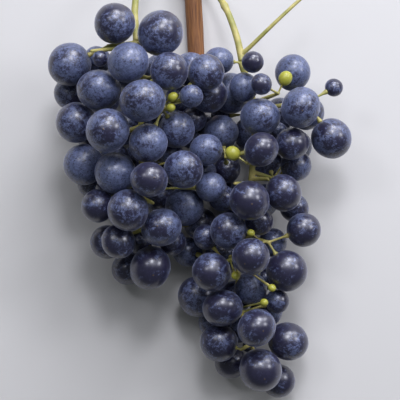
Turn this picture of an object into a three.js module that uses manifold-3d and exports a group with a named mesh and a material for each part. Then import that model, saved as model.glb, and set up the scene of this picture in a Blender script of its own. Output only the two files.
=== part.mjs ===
// Two ripe bunches of blue-black grapes on a cut length of the vine's cane, lying on their backs.
// Millimetres. X runs across both bunches, Y from their tips to the cane's upper cut, Z up from the
// surface that they lie on. The origin is under the middle of the whole piece.
import * as THREE from "three";
import { mergeVertices } from "three/addons/utils/BufferGeometryUtils.js";
import Module from "manifold-3d";

const wasm = await Module();
wasm.setup();

// Sizes that hold for the whole piece.
const CLEARANCE = 0.3; // left between two solids that touch on the real plant
const ROUNDING = 1e-6;
const MERGING = 1e-4; // corners closer than this are one corner
const BERRY_WIDTH = 0.94; // a ripe berry's width over its length
const SHOT_BERRY = { width: 0.88, depth: 4 }; // one that stayed small, and how deep it sits in its bunch
const INNER_DEPTH = 24; // how deep the berries are that show in the gaps between the others
const STALK_RADIUS = { root: 1.7, tip: 0.8 };
const PEDUNCLE_RADIUS = { root: 2.3, waist: 1.35, tip: 1.7 };
const PEDUNCLE_WAIST = 0.3; // how far along the peduncle its waist is
const ARM_RADIUS = { root: 1.1, tip: 0.8 };
const ARM = { spacing: 9, shareOfWidth: 0.6, droop: 0.25, shortest: 5, stride: 1 };
const PEDICEL_RADIUS = { root: 0.6, seat: 1.25, shot: 0.9 };
const CANE_RADIUS = 3.9;
const CANE_KNOT = { extra: 1.5, halfLength: 6 }; // how far the cane swells at each of its knots

// Berries on the sides, the back and the inside are laid by rule. Each layer follows the bunch's
// section, drawn in by its inset, and holds berries between the two lengths.
const LAYERS = [
  { shortest: 14.6, longest: 16.9, inset: 0, from: 28, to: -208 },
  { shortest: 11.5, longest: 14.5, inset: 7, from: 90, to: -270 },
  { shortest: 11, longest: 13.5, inset: 0, from: 10, to: -190 },
];
const LAYER_STEP = { down: 1.5, angle: 2 };
const BACK_WIDTH = 0.86; // the back is a little narrower than the front's own curve
const GOLDEN = 0.618034; // spreads sizes evenly, with no two neighbours alike
const GOLDEN_ANGLE = 137.508;
const BEADS = 60; // steps along a stem where something is measured or branches off
const ARM_SHARES = [0.4, 0.6, 0.8, 0.95]; // where pedicels leave an arm
const SWELLING = 1.15; // how much a berry of a layer may grow, where it has room
const LARGE_BERRY = 17; // every berry of this length or more is a solid of its own
const PRESSED_GAP = 2; // two smaller berries closer than this press on each other, and are joined
const CONTACT_RADIUS = 1.6;

// A bunch's berries are given by where they show from the front: millimetres across from the
// bunch's line, millimetres down from its top, and the berry's length, from the nearest to the
// deepest. How deep each one lies follows from the bunch's round section and from the berries before
// it. Those in the inner list lie deep, and show between the others. The profile holds the section of
// the surface that the berries' middles lie on: down, middle, half width, half depth, and the middle's
// height over the ground. No berry is laid by rule above bareTop. Arm tips and the points of the
// stalk and the peduncle are whole places: X, Y and Z.
const LEFT = {
  name: "left",
  line: -26.8,
  top: 80.5,
  bareTop: 20,
  profile: [
    [0, 0, 18, 20, 30],
    [18, -1, 34, 25, 34],
    [60, 1, 33, 26, 35],
    [82, 2, 27, 21, 33],
    [98, 0, 17, 13, 29],
    [112, 1, 7, 5, 25],
  ],
  front: [
    [4.4, 71.5, 16.6],
    [3.8, 55.2, 17.6],
    [1.6, 37, 20.3],
    [-5, 19.6, 18.7],
    [-5.2, 85, 18.6],
    [19.4, 67, 17.6],
    [-13.9, 49.8, 19.7],
    [-18.4, 31.2, 20.2],
    [-11, 68.3, 19.1],
    [13.2, 23.6, 17.2],
    [9.4, 92.8, 18.5],
    [9.1, 6, 20.8],
    [-11.2, 1.8, 18.3],
    [16.2, 48.8, 16.9],
    [29.3, 23.6, 16.8],
    [31.7, 74.6, 14.2],
    [19.7, 83.6, 18],
    [-29.2, 45.5, 18.5],
    [-32.2, 19.1, 19.9],
    [-26, 64.3, 18.8],
    [4.1, 111.4, 20.2],
    [29.5, 57.8, 15],
    [-19.2, 83.1, 15.2],
    [-10, 99.2, 15.8],
    [27, 91.5, 15.6],
    [30.8, 32.6, 16.8],
    [22.9, 34.4, 10.6],
    [23.9, 43.4, 12],
    [12.5, 58, 12.5],
    [-32.3, 31.4, 16.2],
    [14.3, 99.7, 12.5],
    [-1.3, 100.5, 12.5],
    [-15.8, 99.7, 15.7],
    [-23.2, 72.8, 13.4],
    [-6.4, 112.2, 16.4],
    [-17.6, 17.6, 7.4],
    [-20.2, 16.2, 13.2],
    [23, 19.2, 11.9],
    [28.2, 67.2, 12],
  ],
  inner: [
    [6.9, 42.5, 13],
    [28.5, 45.5, 10],
    [22, 52, 10],
  ],
  shot: [
    [14.8, 34.9, 5],
    [13.8, 39.6, 4.4],
  ],
  armTips: [
    [-42, 69.5, 38],
    [-48.5, 66, 52],
    [-36, 47.5, 40],
    [-23, 55, 40],
    [-21, -1.5, 36],
  ],
  stalk: [
    [-28.4, 71, 37],
    [-26.8, 44.7, 35],
    [-26.4, 9, 32],
    [-25.4, -17.9, 22],
    [-25.2, -27, 15.5],
  ],
  peduncle: [
    [-7.6, 123.6, 5],
    [-17, 117, 11],
    [-27, 102, 22],
    [-29.6, 87, 32],
    [-28.6, 71.8, 37],
  ],
};

const RIGHT = {
  name: "right",
  line: 24.6,
  top: 67,
  bareTop: 27,
  profile: [
    [0, -1, 18, 14, 23],
    [14, 3, 23, 18, 27],
    [39, 8, 25, 20, 29],
    [62, 3, 20, 18, 28],
    [92, -5, 23, 18, 27],
    [116, -6, 20, 16, 25],
    [132, 0, 17, 12, 22],
    [146, 1, 11, 7, 18],
  ],
  front: [
    [2.7, 44.5, 16],
    [-2.5, 67.2, 18.2],
    [20.6, 25.5, 19],
    [13, 63.8, 17],
    [-1.8, 92.3, 17],
    [2.5, 29.5, 18.2],
    [-19.4, 99.5, 17.8],
    [-14.4, 116.2, 18.6],
    [14.9, 99.3, 18.9],
    [-11.7, 80.9, 16.8],
    [0.9, 124.7, 18],
    [35.3, 38.9, 18.9],
    [-10.6, 17.6, 19.2],
    [17.8, 8.7, 16.9],
    [3.1, 144.8, 20],
    [16.1, 132.4, 19.1],
    [-14.8, 35.8, 16],
    [22.8, 80.7, 15.8],
    [-25.5, 111.8, 19.4],
    [-15.9, 132.8, 17.8],
    [-16, 3.6, 14],
    [2.9, 15.2, 9.8],
    [-0.9, 4.9, 10],
    [10.8, 113.4, 11],
    [17, 41.6, 15.2],
    [19.3, 51.2, 14.4],
    [-12.1, 52.7, 13.4],
    [-12.5, 64, 13.4],
    [18.9, 70.6, 14.4],
    [2.2, 76.5, 13.4],
    [8.9, 86.5, 13.4],
    [-1.3, 107.7, 15.2],
    [-30.4, 91.2, 14.3],
    [-19.2, 124.3, 12.5],
    [11.9, 151.3, 15.8],
    [-10.2, 142.8, 15.2],
    [36.6, 15.6, 8.2],
    [-4.8, 15.9, 13.4],
    [-14.5, 27.4, 10],
  ],
  inner: [
    [10.7, 36.4, 10.5],
    [6, 103.6, 11],
    [-1.4, 135.6, 6.5],
  ],
  shot: [
    [-9.8, 46, 7.2],
    [13.9, 12.1, 7],
    [-1.8, 81.8, 4],
    [-8.7, 101, 4.2],
    [4.4, 113.4, 4],
    [8, 106.8, 3.8],
  ],
  armTips: [
    [21, 16.5, 41],
    [35.8, 48.3, 37],
    [50, 44.5, 31],
    [22, 56, 36],
    [15.5, 7.5, 36],
    [31, 9.5, 34],
  ],
  stalk: [
    [19, 62.8, 27.5],
    [25, 40.2, 28],
    [24, 17, 29],
    [22, -4.5, 26],
    [17.9, -27.7, 25],
    [17.9, -46.9, 23],
    [23.2, -64.8, 19],
    [25.9, -74, 15],
  ],
  peduncle: [
    [-2.4, 105.4, 5],
    [5.4, 98.8, 11],
    [11.8, 88.7, 19],
    [16.6, 75.4, 25],
    [19.2, 63.6, 27.5],
  ],
};

// A bare arm that leaves the right bunch's peduncle just above its first berries.
const SIDE_ARM = [
  [18.4, 66, 26.8],
  [23.2, 70.2, 28.5],
  [33.6, 80.2, 30.5],
  [45.6, 91.4, 29],
  [52, 96.5, 25.5],
];
const SIDE_ARM_RADIUS = { root: 1.15, tip: 0.7 };

// The cane lies on the ground between the bunches, from its upper cut to its lower one.
const CANE = [
  [-7.2, 139, 4.3],
  [-6.2, 123, 5.5],
  [-4, 104.5, 5.5],
  [-2.6, 84, 4.6],
  [-1.4, 62, 4.1],
  [-0.2, 46, 4.1],
];
const KNOTS = [
  { place: [-6.2, 123, 5.5], budSide: 1 }, // the left bunch grows from here
  { place: [-4, 104.5, 5.5], budSide: -1 }, // and the right one from here
];
const BUD = { length: 6.5, width: 4, out: 4.9, up: 2.5, lean: 0.5 };

// Facets round and along a shape.
const FACETS = {
  largeBerry: [10, 6],
  smallBerry: [8, 5],
  shotBerry: [6, 5],
  stalk: [6, 12],
  peduncle: [7, 9],
  sideArm: [5, 9],
  cane: [8, 20],
  bud: [7, 5],
  arm: 4,
  pedicel: 3,
  contact: 4,
};

const finishes = {
  berry: { color: "#343a56", roughness: 0.5 },
  green: { color: "#aeb060", roughness: 0.6 },
  cane: { color: "#7a5238", roughness: 0.75 },
};

const vector = (point) => new THREE.Vector3(...point);
const pathOf = (points) => new THREE.CatmullRomCurve3(points.map(vector), false, "catmullrom");
const between = (a, b, share) => a + (b - a) * share;

// A closed mesh as a solid, so that it can be joined and cut.
function solid(geometry) {
  geometry.deleteAttribute("normal");
  geometry.deleteAttribute("uv");
  const merged = mergeVertices(geometry, MERGING);
  return new wasm.Manifold(
    new wasm.Mesh({
      numProp: 3,
      vertProperties: merged.attributes.position.array,
      triVerts: new Uint32Array(merged.index.array),
    }),
  );
}

function geometryOf(body) {
  const { vertProperties, triVerts } = body.getMesh();
  return new THREE.BufferGeometry()
    .setAttribute("position", new THREE.BufferAttribute(vertProperties, 3))
    .setIndex(new THREE.BufferAttribute(triVerts, 1));
}

const join = (bodies) => bodies.reduce((whole, body) => whole.add(body));

// A limb along a smooth path. radiusAt gives its radius from its root, 0, to its tip, 1.
function limb(path, radiusAt, [sides, steps]) {
  const curve = pathOf(path);
  const frames = curve.computeFrenetFrames(steps, false);
  const positions = [];
  const faces = [];
  for (let i = 0; i <= steps; i++) {
    const centre = curve.getPointAt(i / steps);
    const radius = radiusAt(i / steps);
    for (let k = 0; k < sides; k++) {
      const turn = (2 * Math.PI * k) / sides;
      const point = centre
        .clone()
        .addScaledVector(frames.normals[i], radius * Math.cos(turn))
        .addScaledVector(frames.binormals[i], radius * Math.sin(turn));
      positions.push(point.x, point.y, point.z);
    }
  }
  const corner = (ring, k) => ring * sides + (k % sides);
  for (let i = 0; i < steps; i++) {
    for (let k = 0; k < sides; k++) {
      faces.push(corner(i, k), corner(i, k + 1), corner(i + 1, k));
      faces.push(corner(i, k + 1), corner(i + 1, k + 1), corner(i + 1, k));
    }
  }
  for (let k = 1; k < sides - 1; k++) {
    faces.push(corner(0, 0), corner(0, k + 1), corner(0, k));
    faces.push(corner(steps, 0), corner(steps, k), corner(steps, k + 1));
  }
  return new THREE.BufferGeometry()
    .setAttribute("position", new THREE.Float32BufferAttribute(positions, 3))
    .setIndex(faces);
}

const taper = (radius) => (along) => between(radius.root, radius.tip, along);

// A straight stem between two points, a little wider or narrower at its end.
function straightStem(from, to, radiusFrom, radiusTo, sides) {
  const along = to.clone().sub(from);
  const geometry = new THREE.CylinderGeometry(radiusTo, radiusFrom, along.length(), sides, 1);
  const turn = new THREE.Quaternion().setFromUnitVectors(
    new THREE.Vector3(0, 1, 0),
    along.clone().normalize(),
  );
  const middle = from.clone().add(to).multiplyScalar(0.5);
  const size = new THREE.Vector3(1, 1, 1);
  return geometry.applyMatrix4(new THREE.Matrix4().compose(middle, turn, size));
}

// The bunch's section at a distance down from its top, from the two rows of its profile around it.
function sectionAt(bunch, down) {
  const rows = bunch.profile;
  const last = rows.length - 2;
  let i = 0;
  while (i < last && down > rows[i + 1][0]) i++;
  const share = THREE.MathUtils.clamp((down - rows[i][0]) / (rows[i + 1][0] - rows[i][0]), 0, 1);
  const [, middle, halfWidth, halfDepth, height] = rows[i].map((value, k) =>
    between(value, rows[i + 1][k], share),
  );
  return { middle, halfWidth, halfDepth, height };
}

const lengthOf = (bunch) => bunch.profile.at(-1)[0];

// Height of the bunch's front surface, through its berries' middles.
function frontHeight(bunch, across, down) {
  const section = sectionAt(bunch, down);
  const aside = THREE.MathUtils.clamp((across - section.middle) / section.halfWidth, -1, 1);
  return section.height + section.halfDepth * Math.sqrt(1 - aside * aside);
}

// A berry that faces the front lies on the bunch's surface, or as far under it as it takes to be
// clear of the berries already laid.
function frontBerry(bunch, [across, down, length], depth) {
  const height = frontHeight(bunch, across, down) - depth;
  const centre = vector([bunch.line + across, bunch.top - down, height]);
  const radius = length / 2;
  const roomUnder = (other) => {
    const apart = Math.hypot(centre.x - other.centre.x, centre.y - other.centre.y);
    return Math.sqrt(Math.max((radius + other.radius + CLEARANCE) ** 2 - apart ** 2, 0));
  };
  const inTheWay = (other) => Math.abs(centre.z - other.centre.z) < roomUnder(other) - ROUNDING;
  for (let other = berries.find(inTheWay); other; other = berries.find(inTheWay)) {
    centre.z = other.centre.z - roomUnder(other);
  }
  return { bunch: bunch.name, centre, radius };
}

const isClear = (centre, radius, others) =>
  others.every((other) => centre.distanceTo(other.centre) >= radius + other.radius + CLEARANCE);

// Berries of one layer, each one pushed up against those before it. The lowest rest on the ground.
function layerOfBerries(bunch, layer) {
  const found = [];
  for (let down = bunch.bareTop; down < lengthOf(bunch); down += LAYER_STEP.down) {
    const section = sectionAt(bunch, down);
    const width = section.halfWidth * BACK_WIDTH - layer.inset;
    const depth = section.halfDepth - layer.inset;
    for (let angle = layer.from; angle >= layer.to; angle -= LAYER_STEP.angle) {
      const spread = ((found.length + 1) * GOLDEN) % 1;
      const radius = between(layer.shortest, layer.longest, spread) / 2;
      const turn = THREE.MathUtils.degToRad(angle);
      const centre = vector([
        bunch.line + section.middle + width * Math.cos(turn),
        bunch.top - down,
        Math.max(section.height + depth * Math.sin(turn), radius),
      ]);
      if (width > 0 && depth > 0 && isClear(centre, radius, [...berries, ...found, ...stems])) {
        found.push({ bunch: bunch.name, centre, radius });
      }
    }
  }
  return found;
}

// A berry of a layer grows until it presses on a neighbour, on a stem or on the ground.
function swell(berry) {
  const others = [...berries, ...stems].filter((other) => other !== berry);
  const room = others.map((other) => berry.centre.distanceTo(other.centre) - other.radius - CLEARANCE);
  const most = Math.min(berry.radius * SWELLING, LARGE_BERRY / 2 - CLEARANCE);
  berry.radius = Math.min(...room, berry.centre.z, most);
}

// A stem's path as a row of beads, to keep berries clear of it.
const beads = (path, radius) =>
  pathOf(path)
    .getPoints(BEADS)
    .map((centre) => ({ centre, radius }));

const berries = [];
const bunches = [LEFT, RIGHT];
for (const bunch of bunches) {
  for (const place of bunch.shot) {
    berries.push({ ...frontBerry(bunch, place, SHOT_BERRY.depth), isShot: true });
  }
  for (const place of bunch.front) {
    berries.push(frontBerry(bunch, place, 0));
  }
}
for (const bunch of bunches) {
  for (const place of bunch.inner) {
    berries.push(frontBerry(bunch, place, INNER_DEPTH));
  }
}
const stems = [
  ...beads(CANE, CANE_RADIUS + CANE_KNOT.extra),
  ...bunches.flatMap((bunch) => beads(bunch.stalk, STALK_RADIUS.root)),
  ...bunches.flatMap((bunch) => beads(bunch.peduncle, PEDUNCLE_RADIUS.root)),
];
for (const layer of LAYERS) {
  for (const bunch of bunches) {
    const found = layerOfBerries(bunch, layer);
    berries.push(...found);
    found.forEach(swell);
  }
}

// Nearest distance between a stem's middle line and a point.
const distanceToLine = (from, to, point) =>
  new THREE.Line3(from, to).closestPointToPoint(point, true, new THREE.Vector3()).distanceTo(point);

const isOpenWay = (from, to, radius, others) =>
  others.every((other) => distanceToLine(from, to, other.centre) >= other.radius + radius + CLEARANCE);

// The arms of a bunch leave its stalk by the golden angle and stop short of the first berry. Those
// that show from the front are given by their tips.
function armsOf(bunch) {
  const curve = pathOf(bunch.stalk);
  const arms = bunch.armTips.map((place) => {
    const tip = vector(place);
    const [root] = curve.getPoints(BEADS).sort((a, b) => a.distanceTo(tip) - b.distanceTo(tip));
    return { root, tip };
  });
  const count = Math.round(lengthOf(bunch) / ARM.spacing);
  for (let k = 1; k < count; k++) {
    const root = curve.getPoint(k / count);
    const reach = ARM.shareOfWidth * sectionAt(bunch, bunch.top - root.y).halfWidth;
    const turn = THREE.MathUtils.degToRad(k * GOLDEN_ANGLE);
    const way = vector([Math.cos(turn), -ARM.droop, Math.sin(turn)]).normalize();
    const tip = root.clone();
    for (let out = ARM.stride; out <= reach; out += ARM.stride) {
      const next = root.clone().addScaledVector(way, out);
      if (!isOpenWay(root, next, ARM_RADIUS.root, berries)) break;
      tip.copy(next);
    }
    if (tip.distanceTo(root) >= ARM.shortest) arms.push({ root, tip });
  }
  return arms;
}

// A berry hangs from the nearest place on its bunch's stalk or arms that has an open way to it.
function hang(berry, places) {
  const others = berries.filter((other) => other !== berry);
  const nearest = [...places].sort((a, b) => a.distanceTo(berry.centre) - b.distanceTo(berry.centre));
  const open = nearest.find((place) => isOpenWay(place, berry.centre, PEDICEL_RADIUS.root, others));
  berry.isHeld = open !== undefined;
  berry.foot = open ?? nearest[0];
  berry.axis = berry.foot.clone().sub(berry.centre).normalize();
}

for (const bunch of bunches) {
  bunch.arms = armsOf(bunch);
  const onArms = bunch.arms.flatMap(({ root, tip }) =>
    ARM_SHARES.map((share) => root.clone().lerp(tip, share)),
  );
  const places = [...pathOf(bunch.stalk).getPoints(BEADS), ...onArms];
  for (const berry of berries.filter((each) => each.bunch === bunch.name)) {
    hang(berry, places);
  }
}

// A berry is a little longer than wide, with its pedicel on the long axis.
function berryBody(berry, extra = 0) {
  const [round, along] = facetsOf(berry);
  const shape = new THREE.SphereGeometry(berry.radius + extra, round, along);
  const width = berry.isShot ? SHOT_BERRY.width : BERRY_WIDTH;
  const turn = new THREE.Quaternion().setFromUnitVectors(new THREE.Vector3(0, 1, 0), berry.axis);
  const size = new THREE.Vector3(width, 1, width);
  return solid(shape.applyMatrix4(new THREE.Matrix4().compose(berry.centre, turn, size)));
}

// A pedicel widens to the seat of its berry. On a shot berry it is fused to it.
function pedicel(berry) {
  const past = berry.isShot ? -CLEARANCE : CLEARANCE;
  const end = berry.centre.clone().addScaledVector(berry.axis, berry.radius + past);
  const radius = berry.isShot ? PEDICEL_RADIUS.shot : PEDICEL_RADIUS.seat;
  return straightStem(berry.foot, end, PEDICEL_RADIUS.root, radius, FACETS.pedicel);
}

const isLarge = (berry) => 2 * berry.radius >= LARGE_BERRY;

function facetsOf(berry) {
  if (berry.isShot) return FACETS.shotBerry;
  return isLarge(berry) ? FACETS.largeBerry : FACETS.smallBerry;
}

const largestPiece = (body) => body.decompose().reduce((a, b) => (b.volume() > a.volume() ? b : a));

// A bunch's stalk with its arms and pedicels, and the green berries that never grew, in one piece.
// It is cut back where it would press into a ripe berry.
function stalkBody(bunch) {
  const ripe = berries.filter((berry) => !berry.isShot);
  const own = berries.filter((berry) => berry.bunch === bunch.name && berry.isHeld);
  const arm = ({ root, tip }) => straightStem(root, tip, ARM_RADIUS.root, ARM_RADIUS.tip, FACETS.arm);
  const stems = [
    limb(bunch.stalk, taper(STALK_RADIUS), FACETS.stalk),
    ...bunch.arms.map(arm),
    ...own.map(pedicel),
  ];
  const shot = own.filter((berry) => berry.isShot).map((berry) => berryBody(berry));
  const whole = join([...stems.map(solid), ...shot]);
  const rest = ripe.reduce((body, berry) => body.subtract(berryBody(berry, CLEARANCE / 2)), whole);
  return largestPiece(rest.subtract(peduncleBody(bunch, CLEARANCE)));
}

// The cane swells at each knot, and carries a bud there, across from the bunch.
function caneBody(extra = 0) {
  const path = pathOf(CANE);
  const radiusAt = (along) => {
    const point = path.getPointAt(along);
    const swelling = KNOTS.reduce((sum, knot) => {
      const away = point.distanceTo(vector(knot.place)) / CANE_KNOT.halfLength;
      return sum + CANE_KNOT.extra * Math.max(0, 1 - away * away);
    }, 0);
    return CANE_RADIUS + swelling + extra;
  };
  const buds = KNOTS.map(({ place, budSide }) => {
    const shape = new THREE.SphereGeometry(BUD.width / 2 + extra, ...FACETS.bud);
    shape.scale(1, BUD.length / BUD.width, 1);
    shape.rotateZ(-budSide * BUD.lean);
    return solid(shape.translate(place[0] + budSide * BUD.out, place[1] + BUD.up, place[2]));
  });
  return join([solid(limb(CANE, radiusAt, FACETS.cane)), ...buds]);
}

// A peduncle is stout where it leaves the cane, and narrows to a waist.
function peduncleBody(bunch, extra = 0) {
  const { root, waist, tip } = PEDUNCLE_RADIUS;
  const radiusAt = (along) => {
    if (along < PEDUNCLE_WAIST) return between(root, waist, along / PEDUNCLE_WAIST) + extra;
    return between(waist, tip, (along - PEDUNCLE_WAIST) / (1 - PEDUNCLE_WAIST)) + extra;
  };
  const stem = solid(limb(bunch.peduncle, radiusAt, FACETS.peduncle));
  if (bunch === LEFT) return stem;
  const sideRadius = (along) => taper(SIDE_ARM_RADIUS)(along) + extra;
  return stem.add(solid(limb(SIDE_ARM, sideRadius, FACETS.sideArm)));
}

// A short round joint between two berries that press on each other.
const contact = (a, b) =>
  solid(straightStem(a.centre, b.centre, CONTACT_RADIUS, CONTACT_RADIUS, FACETS.contact));

// The smaller berries that press on each other are one body, joined where they touch. Every large
// berry, and every other one that touches none, is a body of its own.
function bodiesOf(bunch) {
  const ripe = berries.filter((berry) => berry.bunch === bunch.name && !berry.isShot);
  const singles = ripe.filter(isLarge).map((berry) => berryBody(berry));
  const clusters = [];
  const loose = ripe.filter((berry) => !isLarge(berry));
  const gap = (a, b) => a.centre.distanceTo(b.centre) - a.radius - b.radius;
  while (loose.length > 0) {
    const members = [loose.shift()];
    const bodies = [berryBody(members[0])];
    for (const member of members) {
      for (const berry of loose.filter((other) => gap(other, member) < PRESSED_GAP)) {
        loose.splice(loose.indexOf(berry), 1);
        members.push(berry);
        bodies.push(berryBody(berry), contact(member, berry));
      }
    }
    (members.length > 1 ? clusters : singles).push(join(bodies));
  }
  return { singles, clusters };
}

const part = new THREE.Group();
function add(name, body, finish) {
  const material = new THREE.MeshStandardMaterial({ ...finish, metalness: 0 });
  const mesh = new THREE.Mesh(geometryOf(body), material);
  mesh.name = name;
  part.add(mesh);
}

add("cane", caneBody(), finishes.cane);
for (const bunch of bunches) {
  add(`${bunch.name}_peduncle`, peduncleBody(bunch).subtract(caneBody(CLEARANCE)), finishes.green);
  add(`${bunch.name}_stalk`, stalkBody(bunch), finishes.green);
  const { singles, clusters } = bodiesOf(bunch);
  for (const [k, body] of singles.entries()) {
    add(`${bunch.name}_berry_${String(k + 1).padStart(2, "0")}`, body, finishes.berry);
  }
  for (const [k, body] of clusters.entries()) {
    add(`${bunch.name}_cluster_${k + 1}`, body, finishes.berry);
  }
}

const box = new THREE.Box3().setFromObject(part);
const middle = box.getCenter(new THREE.Vector3());
part.position.set(-middle.x, -middle.y, -box.min.z);

export default part;
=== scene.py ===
"""Looks of two ripe bunches of blue-black grapes on a cut length of the vine's cane.

Metres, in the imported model's frame, except where a name or comment says millimetres.
"""

import math

import bpy
import numpy as np
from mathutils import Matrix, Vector


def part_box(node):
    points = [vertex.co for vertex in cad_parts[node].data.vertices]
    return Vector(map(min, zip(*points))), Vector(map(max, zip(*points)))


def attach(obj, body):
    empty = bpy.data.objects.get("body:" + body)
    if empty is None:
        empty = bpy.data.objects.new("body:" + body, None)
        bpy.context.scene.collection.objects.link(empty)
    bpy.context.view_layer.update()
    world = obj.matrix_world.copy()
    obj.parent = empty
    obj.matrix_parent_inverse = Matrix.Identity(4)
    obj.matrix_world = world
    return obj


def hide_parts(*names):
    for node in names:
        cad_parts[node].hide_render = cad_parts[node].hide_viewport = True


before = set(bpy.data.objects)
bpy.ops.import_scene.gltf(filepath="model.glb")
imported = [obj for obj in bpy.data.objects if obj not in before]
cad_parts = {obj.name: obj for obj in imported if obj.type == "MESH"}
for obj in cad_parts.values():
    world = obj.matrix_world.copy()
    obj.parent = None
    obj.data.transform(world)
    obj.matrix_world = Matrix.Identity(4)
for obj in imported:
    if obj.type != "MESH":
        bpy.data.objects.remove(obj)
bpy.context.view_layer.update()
scene = bpy.context.scene

# Camera.
# The bunches lie on their backs, so the camera looks straight down on the side that hung towards
# the photographer. Its frame is a square, measured at the height of the foremost berries' middles.
MM = 0.001
VIEW_CENTRE = Vector((-0.08, -23.87, 44.84)) * MM
VIEW_WIDTH = 178.8 * MM
VIEW_DISTANCE = 0.8
SENSOR_WIDTH = 36  # millimetres, of an ordinary full frame
CLIP_START = 0.01

camera_data = bpy.data.cameras.new("camera")
camera_data.sensor_width = SENSOR_WIDTH
camera_data.lens = SENSOR_WIDTH * VIEW_DISTANCE / VIEW_WIDTH
camera_data.clip_start = CLIP_START
camera = bpy.data.objects.new("camera", camera_data)
camera.location = VIEW_CENTRE + Vector((0, 0, VIEW_DISTANCE))
scene.collection.objects.link(camera)
scene.camera = camera
scene.view_settings.view_transform = "Standard"

# Places of the berries.
# The berries, arms and pedicels are laid by the same lists and rules as the solids are, in
# millimetres. The solids' stems are cut back where they meet a berry. These run through a few.

# A row in front is across from the bunch's line, down from its top, the berry's length, and how much
# of its bloom it has kept, from 1 for most of it to a little under 0 for the barest. A profile row
# is down, middle, half width, half depth and height.
LEFT = {
    "name": "left", "line": -26.8, "top": 80.5, "bare_top": 20,
    "profile": [
        (0, 0, 18, 20, 30), (18, -1, 34, 25, 34), (60, 1, 33, 26, 35), (82, 2, 27, 21, 33),
        (98, 0, 17, 13, 29), (112, 1, 7, 5, 25),
    ],
    "front": [
        (4.4, 71.5, 16.6, 0.1), (3.8, 55.2, 17.6, 0.55), (1.6, 37, 20.3, 0.5),
        (-5, 19.6, 18.7, 0.95), (-5.2, 85, 18.6, 0.25), (19.4, 67, 17.6, 0.35),
        (-13.9, 49.8, 19.7, 0.45), (-18.4, 31.2, 20.2, 0.6), (-11, 68.3, 19.1, 0.9),
        (13.2, 23.6, 17.2, 0.35), (9.4, 92.8, 18.5, 0.45), (9.1, 6, 20.8, 0.3),
        (-11.2, 1.8, 18.3, 0.15), (16.2, 48.8, 16.9, 0.5), (29.3, 23.6, 16.8, 0.3),
        (31.7, 74.6, 14.2, 0.6), (19.7, 83.6, 18, 0.6), (-29.2, 45.5, 18.5, 0.3),
        (-32.2, 19.1, 19.9, 0.35), (-26, 64.3, 18.8, 0.6), (4.1, 111.4, 20.2, 0.12),
        (29.5, 57.8, 15, 0.65), (-19.2, 83.1, 15.2, 0.1), (-10, 99.2, 15.8, 0.1),
        (27, 91.5, 15.6, 0.2), (30.8, 32.6, 16.8, 0.15), (22.9, 34.4, 10.6, 0.6),
        (23.9, 43.4, 12, 0.3), (12.5, 58, 12.5, 0.3), (-32.3, 31.4, 16.2, 0.1),
        (14.3, 99.7, 12.5, 0.2), (-1.3, 100.5, 12.5, 0.1), (-15.8, 99.7, 15.7, 0.1),
        (-23.2, 72.8, 13.4, 0.1), (-6.4, 112.2, 16.4, 0.1), (-17.6, 17.6, 7.4, 0.1),
        (-20.2, 16.2, 13.2, 0.5), (23, 19.2, 11.9, 0.6), (28.2, 67.2, 12, 0.5),
    ],
    "inner": [(6.9, 42.5, 13), (28.5, 45.5, 10), (22, 52, 10)],
    "shot": [(14.8, 34.9, 5), (13.8, 39.6, 4.4)],
    "arm_tips": [
        (-42, 69.5, 38), (-48.5, 66, 52), (-36, 47.5, 40), (-23, 55, 40), (-21, -1.5, 36),
    ],
    "stalk": [
        (-28.4, 71, 37), (-26.8, 44.7, 35), (-26.4, 9, 32), (-25.4, -17.9, 22), (-25.2, -27, 15.5),
    ],
    "peduncle": [
        (-7.6, 123.6, 5), (-17, 117, 11), (-27, 102, 22), (-29.6, 87, 32), (-28.6, 71.8, 37),
    ],
}
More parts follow.
